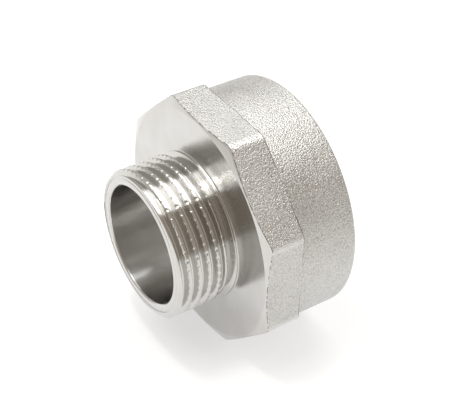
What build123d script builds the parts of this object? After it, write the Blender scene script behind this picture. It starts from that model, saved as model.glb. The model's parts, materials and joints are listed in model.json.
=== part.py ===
"""Male by female reducing adapter for parallel pipe threads, with an octagonal wrench flange.

The fitting lies along X.  The seat face of its flange is the plane X = 0, the male end points to -X
and the female end to +X.  It rests on one flat of its octagon, and +Z is up.  Sizes are in mm.
"""
from build123d import *
from build123d.topology import SkipClean
from math import ceil, radians, tan
import os

# ---- driving dimensions ---------------------------------------------------------------------
thread_pitch = 25.4 / 11            # both ends have eleven threads to the inch
thread_half_angle = 27.5            # degrees, half of the angle between the flanks

male_crest_dia = 32.9               # size 1 pipe thread, its crests cut flat
male_pitch_dia = 31.770
male_root_dia = 30.291
female_crest_dia = 45.0             # size 1 1/2 pipe thread
female_pitch_dia = 46.324
female_root_dia = 47.803

spigot_length = 13.85               # male end, from the seat face to its tip
tip_face_dia = 31.2                 # flat end of the spigot
tip_chamfer_length = 0.6
waterway_dia = 26.5                 # clear bore through the spigot
waterway_edge_break = 0.3
shoulder_length = 0.5               # plain ring between the seat face and the relief groove
groove_floor_start = 1.1            # relief groove, measured from the seat face
groove_floor_end = 1.9
groove_end = 2.8                    # where the thread's crests start

across_flats = 53.0                 # wrench size
flat_count = 8
flange_width = 8.85
corner_round = 2.4
corner_cone_dia = 52.2              # circle where the cone on the corners meets the seat face
corner_cone_angle = 23.0            # degrees, from the seat face

collar_dia = 53.0
collar_length = 13.75
collar_edge_round = 0.6
socket_relief_length = 4.2          # plain groove at the bottom of the female socket
socket_relief_dia = 48.4
mouth_dia = 48.6                    # 45 degree countersink at the mouth of the socket

ridge_overlap = 0.25                # the ridge is swept this much too high and too deep, then cut
patch_angle = 60.0                  # each ridge is joined from arcs of this many degrees
male_crest_past_tip = 0.39          # straight above the axis, a male crest is this far past the tip

# ---- places worked out from them ------------------------------------------------------------
tip_x = -spigot_length
rear_x = flange_width + collar_length
socket_floor_x = flange_width - socket_relief_length
male_crest_r = male_crest_dia / 2
male_root_r = male_root_dia / 2
female_crest_r = female_crest_dia / 2
female_root_r = female_root_dia / 2
waterway_r = waterway_dia / 2
socket_relief_r = socket_relief_dia / 2
mouth_r = mouth_dia / 2
collar_r = collar_dia / 2
flank_slope = tan(radians(thread_half_angle))
patch_advance = thread_pitch * patch_angle / 360


def turned(points):
    """A closed outline of (place along X, radius) points, turned about the fitting's axis."""
    with BuildPart() as solid:
        with BuildSketch(Plane.XZ):
            with BuildLine():
                Polyline(*points, close=True)
            make_face()
        revolve(axis=Axis.X)
    return solid.part


def ridge_arc(root_r, crest_r, pitch_r):
    """One arc of a right-hand thread ridge, from straight above the axis at X = 0."""
    outward = 1 if crest_r > root_r else -1
    base_r = root_r - outward * ridge_overlap
    top_r = crest_r + outward * ridge_overlap
    base_half = thread_pitch / 4 + abs(pitch_r - base_r) * flank_slope
    top_half = thread_pitch / 4 - abs(pitch_r - top_r) * flank_slope
    rise = top_r - base_r
    with BuildPart() as arc:
        with BuildLine() as path:
            Helix(thread_pitch, patch_advance, base_r, direction=(1, 0, 0))
        start = path.line @ 0
        away = Vector(0, start.Y, start.Z).normalized()
        with BuildSketch(Plane(start, x_dir=(1, 0, 0), z_dir=Vector(1, 0, 0).cross(away))):
            with BuildLine():
                Polyline((-base_half, 0), (-top_half, rise), (top_half, rise), (base_half, 0), close=True)
            make_face()
        sweep(path=path.line, is_frenet=True)
    return arc.part


def helical_thread(arc, first_x, last_x, envelope):
    """Arcs joined end to end along the axis, each cut to the envelope.

    The seams between the arcs are kept, so each crest is a chain of short cylindrical lands.
    """
    with SkipClean(), BuildPart() as thread:
        for k in range(ceil((last_x - first_x) / patch_advance)):
            placed = arc.moved(Location((first_x + k * patch_advance, 0, 0), (k * patch_angle, 0, 0)))
            cut = placed & envelope
            if cut and cut.volume > 0:
                add(cut, clean=False)
    return thread.part


# ---- male spigot: the plain tube under the thread, which runs back to the socket's floor -------
with BuildPart() as male_spigot:
    add(turned([
        (tip_x, waterway_r + waterway_edge_break),
        (tip_x, male_root_r),
        (socket_floor_x, male_root_r),
        (socket_floor_x, waterway_r),
        (tip_x + waterway_edge_break, waterway_r),
    ]))
male_spigot.part.label = "male_spigot"

# ---- male thread: the helical ridge on the spigot ---------------------------------------------
male_envelope = turned([
    (tip_x, male_root_r),
    (tip_x, tip_face_dia / 2),
    (tip_x + tip_chamfer_length, male_crest_r),
    (-groove_end, male_crest_r),
    (-groove_floor_end, male_root_r),
])
with BuildPart() as male_thread:
    with SkipClean():
        add(helical_thread(
            ridge_arc(male_root_r, male_crest_r, male_pitch_dia / 2),
            tip_x - male_crest_past_tip - thread_pitch,
            thread_pitch - groove_floor_end,
            male_envelope,
        ), clean=False)
male_thread.part.label = "male_thread"

# ---- octagon flange: the wrench section around the spigot, and the shoulder on its seat face ----
with BuildPart() as octagon_flange:
    with BuildSketch(Plane.YZ):
        RegularPolygon(across_flats / 2, flat_count, major_radius=False, rotation=180 / flat_count)
    extrude(amount=flange_width)
    fillet(octagon_flange.edges().filter_by(Axis.X), corner_round)
    cone_reach = flange_width / tan(radians(corner_cone_angle))
    add(turned([
        (0, 0),
        (0, corner_cone_dia / 2),
        (flange_width, corner_cone_dia / 2 + cone_reach),
        (flange_width, 0),
    ]), mode=Mode.INTERSECT)
    add(turned([
        (0, male_crest_r),
        (-shoulder_length, male_crest_r),
        (-groove_floor_start, male_root_r),
        (0, male_root_r),
    ]))
    add(turned([
        (0, 0),
        (0, male_root_r),
        (socket_floor_x, male_root_r),
        (socket_floor_x, socket_relief_r),
        (flange_width, socket_relief_r),
        (flange_width, 0),
    ]), mode=Mode.SUBTRACT)
octagon_flange.part.label = "octagon_flange"

# ---- female collar: the plain wall of the socket ----------------------------------------------
with BuildPart() as female_collar:
    add(turned([
        (flange_width, female_root_r),
        (flange_width, collar_r),
        (rear_x, collar_r),
        (rear_x, mouth_r),
        (rear_x - (mouth_r - female_root_r), female_root_r),
    ]))
    rear_rim = female_collar.edges().filter_by(GeomType.CIRCLE).group_by(Axis.X)[-1].sort_by(SortBy.RADIUS)[-1]
    fillet(rear_rim, collar_edge_round)
female_collar.part.label = "female_collar"

# ---- female thread: the helical ridge inside the collar ---------------------------------------
female_envelope = turned([
    (flange_width, female_root_r),
    (flange_width + (female_root_r - female_crest_r), female_crest_r),
    (rear_x - (mouth_r - female_crest_r), female_crest_r),
    (rear_x - (mouth_r - female_root_r), female_root_r),
])
with BuildPart() as female_thread:
    with SkipClean():
        add(helical_thread(
            ridge_arc(female_root_r, female_crest_r, female_pitch_dia / 2),
            flange_width - thread_pitch,
            rear_x + thread_pitch,
            female_envelope,
        ), clean=False)
female_thread.part.label = "female_thread"

# ---- export -----------------------------------------------------------------------------------
os.makedirs("parts", exist_ok=True)
for piece in (male_spigot, male_thread, octagon_flange, female_collar, female_thread):
    export_step(piece.part, f"parts/{piece.part.label}.step")
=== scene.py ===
"""Looks for the pipe reducing adapter: detailed meshes and nickel-plate materials on the CAD frame.

The part lies along X with its seat face at X = 0 and its male end towards -X.  Lengths are in metres.
"""
import json
from math import atan2, cos, floor, pi, radians, sin, sqrt, tan

import bmesh
import bpy
from mathutils import Matrix, Vector, noise


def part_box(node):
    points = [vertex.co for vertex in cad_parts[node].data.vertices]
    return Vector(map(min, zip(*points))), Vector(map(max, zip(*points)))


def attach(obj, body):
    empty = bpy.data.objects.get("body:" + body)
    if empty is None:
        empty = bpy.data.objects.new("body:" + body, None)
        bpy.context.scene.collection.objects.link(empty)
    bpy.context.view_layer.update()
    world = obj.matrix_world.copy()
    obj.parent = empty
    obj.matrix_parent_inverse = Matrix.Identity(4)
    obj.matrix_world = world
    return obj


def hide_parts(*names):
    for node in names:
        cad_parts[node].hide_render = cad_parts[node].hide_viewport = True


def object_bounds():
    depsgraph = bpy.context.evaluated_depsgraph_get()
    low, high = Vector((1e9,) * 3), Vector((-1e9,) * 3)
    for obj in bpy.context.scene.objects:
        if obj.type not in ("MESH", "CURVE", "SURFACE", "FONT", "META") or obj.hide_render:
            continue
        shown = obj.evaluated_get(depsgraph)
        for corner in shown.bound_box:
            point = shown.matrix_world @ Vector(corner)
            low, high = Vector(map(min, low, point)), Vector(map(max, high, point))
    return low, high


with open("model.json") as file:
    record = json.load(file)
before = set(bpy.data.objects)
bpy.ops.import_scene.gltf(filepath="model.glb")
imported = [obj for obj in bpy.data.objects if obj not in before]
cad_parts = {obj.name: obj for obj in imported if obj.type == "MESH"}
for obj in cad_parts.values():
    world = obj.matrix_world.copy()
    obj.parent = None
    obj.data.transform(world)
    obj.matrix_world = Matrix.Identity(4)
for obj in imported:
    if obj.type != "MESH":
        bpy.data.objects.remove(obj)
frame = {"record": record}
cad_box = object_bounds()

MM = 0.001

# ---- sizes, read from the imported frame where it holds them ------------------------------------
mounts = {m["name"]: m for m in frame["record"]["mounts"]}


def mount_radius(name):
    return mounts[name]["dims"]["r_mm"] * MM


def box_of(node):
    low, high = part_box(node)
    return Vector(low), Vector(high)


spigot_low, spigot_high = box_of("male_spigot")
flange_low, flange_high = box_of("octagon_flange")
collar_low, collar_high = box_of("female_collar")
socket_low, socket_high = box_of("female_thread")

TIP = spigot_low.x                          # end of the male thread
SOCKET_FLOOR = spigot_high.x
SEAT = 0.0                                  # seat face of the flange
FLANGE_BACK = collar_low.x
REAR = collar_high.x
BORE_R = mount_radius("waterway")
MALE_CREST_R = mount_radius("male_thread")
MALE_ROOT_R = (spigot_high.z - spigot_low.z) / 2
FEMALE_CREST_R = mount_radius("female_thread")
FEMALE_ROOT_R = (socket_high.z - socket_low.z) / 2
FLAT_R = flange_high.z                      # half of the wrench size
COLLAR_R = collar_high.z

PITCH = 25.4 / 11 * MM
FLANK = tan(radians(27.5))
MALE_PITCH_R = 31.770 / 2 * MM
FEMALE_PITCH_R = 46.324 / 2 * MM
TIP_FACE_R = 15.6 * MM
TIP_CHAMFER = 0.6 * MM
CREST_PAST_TIP = 0.39 * MM                  # straight above the axis, as in the CAD thread
SHOULDER = 0.5 * MM
GROOVE_FLOOR = (-1.9 * MM, -1.1 * MM)
GROOVE_END = -2.8 * MM
CONE_R = 26.1 * MM
CONE_SLOPE = tan(radians(23.0))
CORNER_ROUND = 2.4 * MM
RELIEF_R = 24.2 * MM
MOUTH_R = 24.3 * MM
THREAD_MOUTH = REAR - (MOUTH_R - FEMALE_ROOT_R)
EDGE_BREAK = 0.3 * MM                       # where the bore meets the tip
RIM_ROUND = 0.6 * MM
SKIN = 0.12 * MM                            # how far the threaded skins reach under the roots
SAME_PLACE = 0.00002 * MM                   # points closer than this are one point
TOO_SHORT = 0.0005 * MM                     # edges shorter than this are dropped


# ---- mesh helpers -----------------------------------------------------------------------------
def around_axis(x, r, angle):
    """A point at this radius; the angle is from straight up, right-handed about +X."""
    return (x, -r * sin(angle), r * cos(angle))


def fillet_arc(before, corner, after, radius, steps=4):
    """Points of the arc that rounds a corner of an outline in (x, radius)."""
    here = Vector(corner)
    to_before = (Vector(before) - here).normalized()
    to_after = (Vector(after) - here).normalized()
    half = to_before.angle(to_after) / 2
    centre = here + (to_before + to_after).normalized() * (radius / sin(half))
    start = here + to_before * (radius / tan(half)) - centre
    sweep = start.angle_signed(here + to_after * (radius / tan(half)) - centre)
    arc = []
    for k in range(steps + 1):
        arm = start.copy()
        arm.rotate(Matrix.Rotation(-sweep * k / steps, 2))
        arc.append(tuple(centre + arm))
    return arc


def outline(corners):
    """A closed outline and the finish of each of its sides.

    A corner is (x, radius, fillet, pieces, finish), and may end in a finish for its fillet.  Pieces and
    finish are those of the straight side that follows it.
    """
    path, finishes = [], []
    for i, (x, r, fillet, pieces, finish, *edge) in enumerate(corners):
        before, after = corners[i - 1], corners[(i + 1) % len(corners)]
        arc = fillet_arc(before[:2], (x, r), after[:2], fillet) if fillet > 0 else [(x, r)]
        path += [(point, edge[0] if edge else before[4]) for point in arc[:-1]]
        nx, nr, next_fillet = after[:3]
        end = (nx, nr)
        if next_fillet > 0:
            beyond = corners[(i + 2) % len(corners)][:2]
            end = fillet_arc((x, r), (nx, nr), beyond, next_fillet)[0]
        start = arc[-1]
        for k in range(pieces):
            point = tuple(start[n] + (end[n] - start[n]) * k / pieces for n in (0, 1))
            path.append((point, finish))
    return [point for point, _ in path], [finish for _, finish in path]


def grain(point):
    """Pebbled relief of a shot-blasted forging, from about -2.5 up to about 0.5."""
    p = Vector(point) / GRAIN_SIZE
    return noise.noise(p) * 1.1 + noise.noise(p * 2.1 + Vector((7, 3, 5))) * 0.6 - 1


def finish_mesh(name, verts, faces, looks):
    """A smooth closed piece.  looks holds one finish for the whole, or one for each face."""
    mesh = bpy.data.meshes.new(name)
    mesh.from_pydata(verts, [], faces)
    names = sorted(set(looks))
    for look in names:
        mesh.materials.append(FINISHES[look])
    if len(looks) > 1:
        for face, look in zip(mesh.polygons, looks):
            face.material_index = names.index(look)
    work = bmesh.new()
    work.from_mesh(mesh)
    bmesh.ops.remove_doubles(work, verts=work.verts, dist=SAME_PLACE)
    bmesh.ops.dissolve_degenerate(work, edges=work.edges, dist=TOO_SHORT)
    bmesh.ops.recalc_face_normals(work, faces=work.faces)
    for face in work.faces:
        face.smooth = True
    work.to_mesh(mesh)
    work.free()
    piece = bpy.data.objects.new(name, mesh)
    bpy.context.scene.collection.objects.link(piece)
    return piece


def skinned(name, angles, sections, finishes, relief=None):
    """A piece whose closed section changes with the angle round the axis.

    relief(x, radius, angle) lifts the points of the forged sides.
    """
    verts, faces, looks = [], [], []
    count, around = len(finishes), len(angles)
    for i in range(count):
        rough = relief and finishes[i] == finishes[i - 1] == "forged"
        for angle, section in zip(angles, sections):
            x, r = section[i]
            verts.append(around_axis(x, r + relief(x, r, angle) if rough else r, angle))
        below = (i + 1) % count * around
        for j in range(around):
            k = (j + 1) % around
            faces.append((i * around + j, below + j, below + k, i * around + k))
            looks.append(finishes[i])
    return finish_mesh(name, verts, faces, looks)


def lathe(name, corners, around, relief=None):
    """A piece turned from one closed section."""
    path, finishes = outline(corners)
    angles = [2 * pi * j / around for j in range(around)]
    return skinned(name, angles, [path] * around, finishes, relief)


# ---- materials --------------------------------------------------------------------------------
class Nodes:
    """Short names for adding and joining the nodes of one material."""

    def __init__(self, name):
        self.material = bpy.data.materials.new(name)
        self.material.use_nodes = True
        self.tree = self.material.node_tree
        self.shader = self.tree.nodes["Principled BSDF"]
        self.place = self.add("ShaderNodeTexCoord").outputs["Object"]

    def add(self, kind, inputs=None, **settings):
        node = self.tree.nodes.new(kind)
        for key, value in settings.items():
            setattr(node, key, value)
        for key, value in (inputs or {}).items():
            self.put(node.inputs[key], value)
        return node

    def put(self, socket, value):
        if isinstance(value, bpy.types.NodeSocket):
            self.tree.links.new(value, socket)
        else:
            socket.default_value = value

    def maths(self, kind, a, b=0.0):
        return self.add("ShaderNodeMath", {0: a, 1: b}, operation=kind).outputs[0]

    def noise(self, place, scale, detail=2.0):
        node = self.add("ShaderNodeTexNoise", {"Vector": place, "Scale": scale, "Detail": detail})
        return node.outputs["Fac"]

    def ramp(self, value, low, high, to_low, to_high):
        node = self.add("ShaderNodeMapRange", {
            "Value": value, "From Min": low, "From Max": high, "To Min": to_low, "To Max": to_high})
        return node.outputs["Result"]

    def blend(self, share, a, b):
        node = self.add("ShaderNodeMix", data_type="RGBA")
        self.put(node.inputs["Factor"], share)
        for key, value in (("A", a), ("B", b)):
            socket = [s for s in node.inputs if s.name == key and s.type == "RGBA"][0]
            self.put(socket, value)
        return [s for s in node.outputs if s.type == "RGBA"][0]

    def bump(self, height, distance, strength=1.0, under=None):
        node = self.add("ShaderNodeBump", {"Height": height, "Distance": distance, "Strength": strength})
        if under is not None:
            self.put(node.inputs["Normal"], under)
        return node.outputs["Normal"]

    def radius_and_place(self):
        """The distance from the fitting's axis, and the place along it."""
        parts = self.add("ShaderNodeSeparateXYZ", {0: self.place})
        y2 = self.maths("MULTIPLY", parts.outputs["Y"], parts.outputs["Y"])
        z2 = self.maths("MULTIPLY", parts.outputs["Z"], parts.outputs["Z"])
        return self.maths("SQRT", self.maths("ADD", y2, z2)), parts.outputs["X"]


# from this radius out, the flange's corners get a painted highlight and are rubbed smoother
SHEEN_AND_WEAR_FROM = 28.2 * MM
SHEEN_AND_WEAR_FULLY = 28.48 * MM


def forged_plate():
    """Nickel plate over a shot-blasted forging: satin pebbles, with painted shade darkening the hollows
    between them.

    The flange's corners stand furthest from the axis and are rubbed smoother; their brighter base colour
    is a painted highlight.
    """
    m = Nodes("forged_plate")
    wear_and_sheen = m.ramp(m.radius_and_place()[0], SHEEN_AND_WEAR_FROM, SHEEN_AND_WEAR_FULLY, 0.0, 0.7)
    pebbles = m.add("ShaderNodeTexVoronoi", {"Vector": m.place, "Scale": 3500.0}, feature="SMOOTH_F1")
    hollows_and_shade = pebbles.outputs["Distance"]
    fine = m.noise(m.place, 5200.0, 2.0)
    broad = m.noise(m.place, 90.0, 3.0)
    # painted shade: the base colour is darkened in the hollows between the pebbles; the broad noise adds
    # tone that differs at random
    tone = m.maths("ADD", m.ramp(hollows_and_shade, 0.25, 0.75, 0.8, 0.0), m.ramp(broad, 0.3, 0.7, 0.0, 0.2))
    plate = m.blend(tone, (0.42, 0.414, 0.398, 1), (0.70, 0.697, 0.68, 1))
    # painted highlight: towards the corners the base colour is lifted to bright nickel
    m.put(m.shader.inputs["Base Color"], m.blend(wear_and_sheen, plate, (0.76, 0.76, 0.75, 1)))
    smoother = m.maths("MULTIPLY", wear_and_sheen, 0.12)
    m.put(m.shader.inputs["Roughness"], m.maths("SUBTRACT", m.ramp(broad, 0.3, 0.7, 0.42, 0.50), smoother))
    m.shader.inputs["Metallic"].default_value = 1.0
    under = m.bump(m.ramp(hollows_and_shade, 0.0, 0.8, 1.0, 0.0), 0.00014, 0.9)
    m.put(m.shader.inputs["Normal"], m.bump(fine, 0.00011, 0.75, under))
    return m.material


def turned_plate(name, tone, roughness, anisotropic, on_face):
    """Nickel plate over turned metal, with fine rings round the axis on a face or along a cylinder."""
    m = Nodes(name)
    radius, along = m.radius_and_place()
    place = m.add("ShaderNodeCombineXYZ", {0: radius if on_face else along}).outputs[0]
    rings = m.noise(place, 9000.0, 4.0)
    broad = m.noise(m.place, 160.0, 2.0)
    darker = (tone[0] * 0.93, tone[1] * 0.92, tone[2] * 0.91, 1)
    m.put(m.shader.inputs["Base Color"], m.blend(m.ramp(broad, 0.3, 0.7, 0.0, 1.0), darker, tone + (1,)))
    m.put(m.shader.inputs["Roughness"], m.ramp(rings, 0.3, 0.7, roughness * 0.8, roughness * 1.2))
    m.shader.inputs["Metallic"].default_value = 1.0
    m.shader.inputs["Anisotropic"].default_value = anisotropic
    m.shader.inputs["Anisotropic Rotation"].default_value = 0.25
    tangent = m.add("ShaderNodeTangent", direction_type="RADIAL", axis="X").outputs[0]
    m.put(m.shader.inputs["Tangent"], tangent)
    m.put(m.shader.inputs["Normal"], m.bump(rings, 0.000002, 0.5))
    return m.material


def edge_metal(name, dark, bright):
    """A thin edge between two faces, dark with brighter specks: the burr on the flange's front edge, and
    painted shade along the flange's back edge where it meets the collar.
    """
    m = Nodes(name)
    specks = m.noise(m.place, 1100.0, 2.0)
    m.put(m.shader.inputs["Base Color"], m.blend(m.ramp(specks, 0.47, 0.6, 0.0, 1.0), dark, bright))
    m.put(m.shader.inputs["Roughness"], m.ramp(specks, 0.3, 0.7, 0.5, 0.3))
    m.shader.inputs["Metallic"].default_value = 1.0
    return m.material


NICKEL = (0.61, 0.605, 0.588)
FINISHES = {
    "forged": forged_plate(),
    "turned": turned_plate("turned_face", NICKEL, 0.20, 0.6, True),
    "bored": turned_plate("turned_bore", NICKEL, 0.22, 0.93, False),
    "cut": turned_plate("cut_thread", NICKEL, 0.16, 0.5, False),
    "burr": edge_metal("burr_metal", (0.12, 0.09, 0.075, 1), (0.72, 0.71, 0.68, 1)),
    # painted shade: the flange's back edge and back face, darkened where they meet the collar
    "worn": edge_metal("shaded_back_edge", (0.24, 0.23, 0.21, 1), (0.42, 0.41, 0.38, 1)),
}


# ---- octagon flange ---------------------------------------------------------------------------
OCTANT = pi / 8
GRAIN_SIZE = 0.25 * MM
GRAIN_HEIGHT = 0.005 * MM


def octagon_radius(angle):
    """Radius of the octagon with rounded edges at this angle; one flat lies straight below."""
    off = abs((angle + OCTANT) % (2 * OCTANT) - OCTANT)
    if off <= ROUND_START:
        return FLAT_R / cos(off)
    centre = (FLAT_R - CORNER_ROUND) / cos(OCTANT)
    side = centre * sin(OCTANT - off)
    return centre * cos(OCTANT - off) + sqrt(CORNER_ROUND ** 2 - side ** 2)


ROUND_START = atan2((FLAT_R - CORNER_ROUND) * tan(OCTANT), FLAT_R)


def octagon_angles(on_flat=100, on_corner=14):
    """Angles round the octagon, evenly along its flats and along its rounded edges."""
    one = [-ROUND_START + 2 * ROUND_START * k / on_flat for k in range(on_flat)]
    one += [ROUND_START + 2 * (OCTANT - ROUND_START) * k / on_corner for k in range(on_corner)]
    return [side * 2 * OCTANT + a for side in range(8) for a in one]


BACK_ROUND = 0.3 * MM                       # widest rounding of the flange's back edge
SEAM_ON_TOP = 0.13 * MM                     # narrowest rounding, on the top flat and on the others
SEAM_ELSEWHERE = 0.01 * MM


def flange_corners(angle):
    """The flange's closed section at this angle.  Its back edge melts into the collar except on top."""
    edge_r = octagon_radius(angle)
    front = SEAT + max(0.0, edge_r - CONE_R) * CONE_SLOPE
    seam = SEAM_ON_TOP if cos(angle) > cos(OCTANT) else SEAM_ELSEWHERE
    back_round = min(BACK_ROUND, seam + 0.6 * (edge_r - COLLAR_R))
    return [
        (GROOVE_FLOOR[1] - 0.05 * MM, MALE_ROOT_R - SKIN, 0, 1, "cut"),
        (GROOVE_FLOOR[1], MALE_ROOT_R, 0, 1, "cut"),
        (-SHOULDER, MALE_CREST_R, 0.12 * MM, 1, "cut"),
        (SEAT, MALE_CREST_R, 0.15 * MM, 8, "turned"),
        (SEAT, CONE_R, 0.10 * MM, 3, "turned"),
        (front, edge_r, 0.12 * MM, 54, "forged", "burr"),
        # painted shade on the back edge and back face, where the flange meets the collar
        (FLANGE_BACK, edge_r, back_round, 3, "worn", "worn"),
        (FLANGE_BACK, RELIEF_R, 0, 3, "bored"),
        (SOCKET_FLOOR, RELIEF_R, 0.3 * MM, 5, "bored"),
        (SOCKET_FLOOR, MALE_ROOT_R - SKIN, 0, 1, "bored"),
    ]


def flange_relief(x, r, angle):
    """Height of the flange's grain, which fades out at its front and back edges."""
    fade = min(1.0, (x - 0.1 * MM) / (0.4 * MM), (FLANGE_BACK - x) / (0.5 * MM))
    return GRAIN_HEIGHT * max(0.0, fade) * grain(around_axis(x, r, angle))


def make_flange():
    angles = octagon_angles()
    sections = [outline(flange_corners(a)) for a in angles]
    return skinned("flange_body", angles, [path for path, _ in sections], sections[0][1], flange_relief)


# ---- collar and spigot ------------------------------------------------------------------------
PIT = Vector(around_axis(19.2 * MM, COLLAR_R, radians(59.8)))      # a small pit in the collar
PIT_RADIUS = 0.55 * MM
PIT_DEPTH = 0.25 * MM


def collar_relief(x, r, angle):
    """Height of the collar's grain, which fades out at its two ends, with the pit in it."""
    point = around_axis(x, r, angle)
    fade = min(1.0, (x - FLANGE_BACK) / (0.4 * MM), (REAR - RIM_ROUND - x) / (0.4 * MM))
    pit = max(0.0, 1 - (Vector(point) - PIT).length / PIT_RADIUS)
    return GRAIN_HEIGHT * max(0.0, fade) * grain(point) - PIT_DEPTH * pit


def make_collar():
    return lathe("collar_wall", [
        (FLANGE_BACK, FEMALE_ROOT_R + SKIN, 0, 1, "bored"),
        (FLANGE_BACK, COLLAR_R, 0, 78, "forged"),
        (REAR, COLLAR_R, RIM_ROUND, 4, "turned"),
        (REAR, MOUTH_R, 0.1 * MM, 1, "turned"),
        (THREAD_MOUTH, FEMALE_ROOT_R, 0, 1, "bored"),
        (THREAD_MOUTH - 0.1 * MM, FEMALE_ROOT_R + SKIN, 0, 4, "bored"),
    ], 960, collar_relief)


def make_spigot():
    return lathe("spigot_tube", [
        (TIP, MALE_ROOT_R - SKIN, 0, 10, "bored"),
        (SOCKET_FLOOR, MALE_ROOT_R - SKIN, 0, 2, "bored"),
        (SOCKET_FLOOR, BORE_R, 0.15 * MM, 18, "bored"),
        (TIP + EDGE_BREAK, BORE_R, 0.2 * MM, 1, "bored"),
        (TIP, BORE_R + EDGE_BREAK, 0.1 * MM, 2, "turned"),
    ], 288)


# ---- threads ----------------------------------------------------------------------------------
def ridge_profile(root_r, crest_r, pitch_r):
    """One pitch of a thread: (place along X, radius) points about the middle of a crest."""
    crest_half = PITCH / 4 - abs(crest_r - pitch_r) * FLANK
    root_half = PITCH / 4 + abs(pitch_r - root_r) * FLANK
    ends = (-PITCH + root_half, root_r, 0, 1, "cut")
    path, _ = outline([
        ends,
        (-root_half, root_r, 0.10 * MM, 3, "cut"),
        (-crest_half, crest_r, 0.09 * MM, 3, "cut"),
        (crest_half, crest_r, 0.09 * MM, 3, "cut"),
        (root_half, root_r, 0.10 * MM, 1, "cut"),
        (PITCH - root_half, root_r, 0, 1, "cut"),
    ])
    return path[1:-1]


ENDS_CLOSE_OVER = 0.4 * PITCH
ENDS_CLOSED = 0.95                          # from this share on, a point lies on the inner wall


def thread_skin(name, profile, first_x, ends, inner_r, limit, around, mark=None):
    """A sleeve with a thread on it, closed by a flat face at each end.

    limit(x, r) trims the thread, and mark(x_off, angle) presses into it.
    """
    per_turn = len(profile)
    turns = int((ends[1] - first_x) / PITCH + 3)
    index = {}
    verts = []

    def corner(i, j):
        if j == around:
            i, j = i + per_turn, 0
        if (i, j) in index:
            return index[i, j]
        turn, k = divmod(i, per_turn)
        angle = 2 * pi * j / around
        off, r = profile[k]
        x = first_x + (turn + j / around) * PITCH + off
        r = limit(x, r)
        if mark:
            r -= mark(off, angle)
        past_end = max(ends[0] - x, x - ends[1], 0.0) / ENDS_CLOSE_OVER
        r += (inner_r - r) * (past_end if past_end < ENDS_CLOSED else 1.0)
        x = min(max(x, ends[0]), ends[1])
        verts.append(around_axis(x, r, angle))
        index[i, j] = len(verts) - 1
        return index[i, j]

    faces = []
    last = turns * per_turn
    for i in range(last):
        for j in range(around):
            faces.append((corner(i, j), corner(i + 1, j), corner(i + 1, j + 1), corner(i, j + 1)))
    for j in range(around):
        faces.append((corner(last, j), corner(0, j), corner(0, j + 1), corner(last, j + 1)))
    return finish_mesh(name, verts, faces, ["cut"])


def male_limit(x, r):
    """The male thread under its chamfer at the tip and its run-out at the groove."""
    chamfer = TIP_FACE_R + max(0.0, x - TIP) * (MALE_CREST_R - TIP_FACE_R) / TIP_CHAMFER
    slope = (MALE_CREST_R - MALE_ROOT_R) / (GROOVE_FLOOR[0] - GROOVE_END)
    run_out = max(MALE_ROOT_R, MALE_CREST_R - max(0.0, x - GROOVE_END) * slope)
    return min(r, chamfer, run_out)


def female_limit(x, r):
    """The female thread outside its lead at the relief and its chamfer at the mouth."""
    lead = FEMALE_ROOT_R - (x - FLANGE_BACK)
    mouth = MOUTH_R - (REAR - x)
    return max(r, min(lead, FEMALE_ROOT_R), min(mouth, FEMALE_ROOT_R))


NOTCHES = 55
NOTCH_DEPTH = 0.14 * MM
NOTCH_REACH = 0.18                          # half of a notch's width, as a share of their spacing
NOTCH_RUN_OUT = 0.15 * MM                   # where a notch fades, down the flanks
CREST_HALF = PITCH / 4 - (MALE_CREST_R - MALE_PITCH_R) * FLANK


def notch(off, angle):
    """Depth of the small notches pressed across the male crests, deepest on the side of the tip."""
    turn = angle * NOTCHES / (2 * pi)
    across = abs(turn - floor(turn) - 0.5)
    sharp = max(0.0, 1 - across / NOTCH_REACH)
    on_crest = max(0.0, 1 - max(0.0, abs(off) - CREST_HALF) / NOTCH_RUN_OUT)
    towards_tip = max(0.0, min(1.0, 0.3 - off / CREST_HALF))
    return NOTCH_DEPTH * sharp * on_crest * towards_tip


def make_male_thread():
    profile = ridge_profile(MALE_ROOT_R, MALE_CREST_R, MALE_PITCH_R)
    first = TIP - CREST_PAST_TIP - 2 * PITCH
    return thread_skin("male_thread_ridge", profile, first, (TIP, GROOVE_FLOOR[1] + 0.02 * MM),
                       MALE_ROOT_R - SKIN, male_limit, 10 * NOTCHES, notch)


def make_female_thread():
    profile = ridge_profile(FEMALE_ROOT_R, FEMALE_CREST_R, FEMALE_PITCH_R)
    first = FLANGE_BACK - 3 * PITCH
    return thread_skin("female_thread_ridge", profile, first, (FLANGE_BACK, THREAD_MOUTH),
                       FEMALE_ROOT_R + SKIN, female_limit, 300)


# ---- the pieces on the frame ------------------------------------------------------------------
for piece, node, slot in (
    (make_spigot(), "male_spigot", "turned_plate"),
    (make_male_thread(), "male_thread", "turned_plate"),
    (make_flange(), "octagon_flange", "forged_plate"),
    (make_collar(), "female_collar", "forged_plate"),
    (make_female_thread(), "female_thread", "turned_plate"),
):
    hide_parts(node)
    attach(piece, "root")


# ---- floor, light and camera ------------------------------------------------------------------
def flat_sheet(name, size, z):
    """A square level sheet at this height."""
    mesh = bpy.data.meshes.new(name)
    half = size / 2
    mesh.from_pydata([(-half, -half, z), (half, -half, z), (half, half, z), (-half, half, z)], [],
                     [(0, 1, 2, 3)])
    sheet = bpy.data.objects.new(name, mesh)
    bpy.context.scene.collection.objects.link(sheet)
    return sheet


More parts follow.
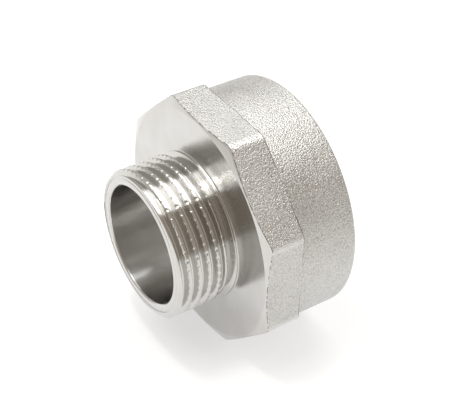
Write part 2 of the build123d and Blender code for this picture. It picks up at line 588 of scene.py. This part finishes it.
def white_floor():
    """A white table that glows, with its glow painted weaker right round the place where the fitting
    stands, as a painted contact shadow.
    """
    m = Nodes("white_floor")
    tone = m.noise(m.place, 4.0, 1.0)
    m.put(m.shader.inputs["Base Color"], m.blend(tone, (0.41, 0.41, 0.41, 1), (0.43, 0.43, 0.43, 1)))
    m.shader.inputs["Roughness"].default_value = 0.8
    m.shader.inputs["Emission Color"].default_value = (1, 1, 1, 1)
    parts = m.add("ShaderNodeSeparateXYZ", {0: m.place})
    from_footprint = m.add("ShaderNodeCombineXYZ", {
        0: m.maths("MULTIPLY", parts.outputs["X"], 0.7), 1: parts.outputs["Y"]}).outputs[0]
    distance = m.add("ShaderNodeVectorMath", {0: from_footprint}, operation="LENGTH").outputs["Value"]
    # painted shadow: the floor's glow is weaker within about 22 mm of the fitting's footprint
    m.put(m.shader.inputs["Emission Strength"], m.ramp(distance, 6 * MM, 22 * MM, 0.55, 0.64))
    return m.material


floor_sheet = flat_sheet("floor", 6.0, cad_box[0][2])
floor_sheet.data.materials.append(white_floor())


COOL_WHITE = (0.965, 0.985, 1.0)


def panel(name, place, target, size, power):
    """A soft rectangular studio light."""
    light = bpy.data.lights.new(name, "AREA")
    light.shape = "RECTANGLE"
    light.size, light.size_y = size
    light.energy = power
    light.color = COOL_WHITE
    lamp = bpy.data.objects.new(name, light)
    lamp.location = place
    lamp.rotation_euler = (Vector(target) - Vector(place)).to_track_quat("-Z", "Y").to_euler()
    bpy.context.scene.collection.objects.link(lamp)


panel("ceiling_panel", (0.04, 0.145, 0.6), (0.04, 0.145, 0), (1.04, 0.55), 4.1)
panel("left_lamp", (-0.35, 0.07, 0.55), (0, 0, 0), (0.15, 0.04), 0.08)
panel("bore_lamp", (-0.12, 0.056, 0.585), (0, 0, 0), (0.12, 0.04), 1.0)


def studio_world():
    """A dim brown room with a paler back wall."""
    world = bpy.data.worlds.new("studio")
    world.use_nodes = True
    tree = world.node_tree
    split = tree.nodes.new("ShaderNodeSeparateXYZ")
    tree.links.new(tree.nodes.new("ShaderNodeTexCoord").outputs["Generated"], split.inputs[0])
    step = tree.nodes.new("ShaderNodeMapRange")
    step.interpolation_type = "SMOOTHSTEP"
    step.inputs["From Min"].default_value = 0.25
    step.inputs["From Max"].default_value = 0.6
    tree.links.new(split.outputs["Y"], step.inputs["Value"])
    mix = tree.nodes.new("ShaderNodeMix")
    mix.data_type = "RGBA"
    tree.links.new(step.outputs["Result"], mix.inputs["Factor"])
    colours = [s for s in mix.inputs if s.type == "RGBA"]
    colours[0].default_value = (0.47, 0.415, 0.355, 1)
    colours[1].default_value = (0.62, 0.60, 0.56, 1)
    tree.links.new([s for s in mix.outputs if s.type == "RGBA"][0],
                   tree.nodes["Background"].inputs["Color"])
    return world


bpy.context.scene.world = studio_world()
bpy.context.scene.view_settings.view_transform = "Standard"

VIEW_AZIMUTH, VIEW_ELEVATION, VIEW_ROLL = radians(-34.42), radians(38.84), radians(1.60)
VIEW_DISTANCE = 0.2633
VIEW_TARGET = Vector((0.01169, 0.00413, -0.00344))
LENS = 92.33

camera_data = bpy.data.cameras.new("camera")
camera_data.lens = LENS
camera_data.sensor_width = 36.0
camera_data.clip_start = 0.01
camera = bpy.data.objects.new("camera", camera_data)
back = Vector((sin(VIEW_AZIMUTH) * cos(VIEW_ELEVATION), -cos(VIEW_AZIMUTH) * cos(VIEW_ELEVATION),
               sin(VIEW_ELEVATION)))
camera.location = VIEW_TARGET + back * VIEW_DISTANCE
camera.rotation_euler = (back.to_track_quat("Z", "Y").to_matrix()
                         @ Matrix.Rotation(VIEW_ROLL, 3, "Z")).to_euler()
bpy.context.scene.collection.objects.link(camera)
bpy.context.scene.camera = camera

bpy.context.view_layer.update()
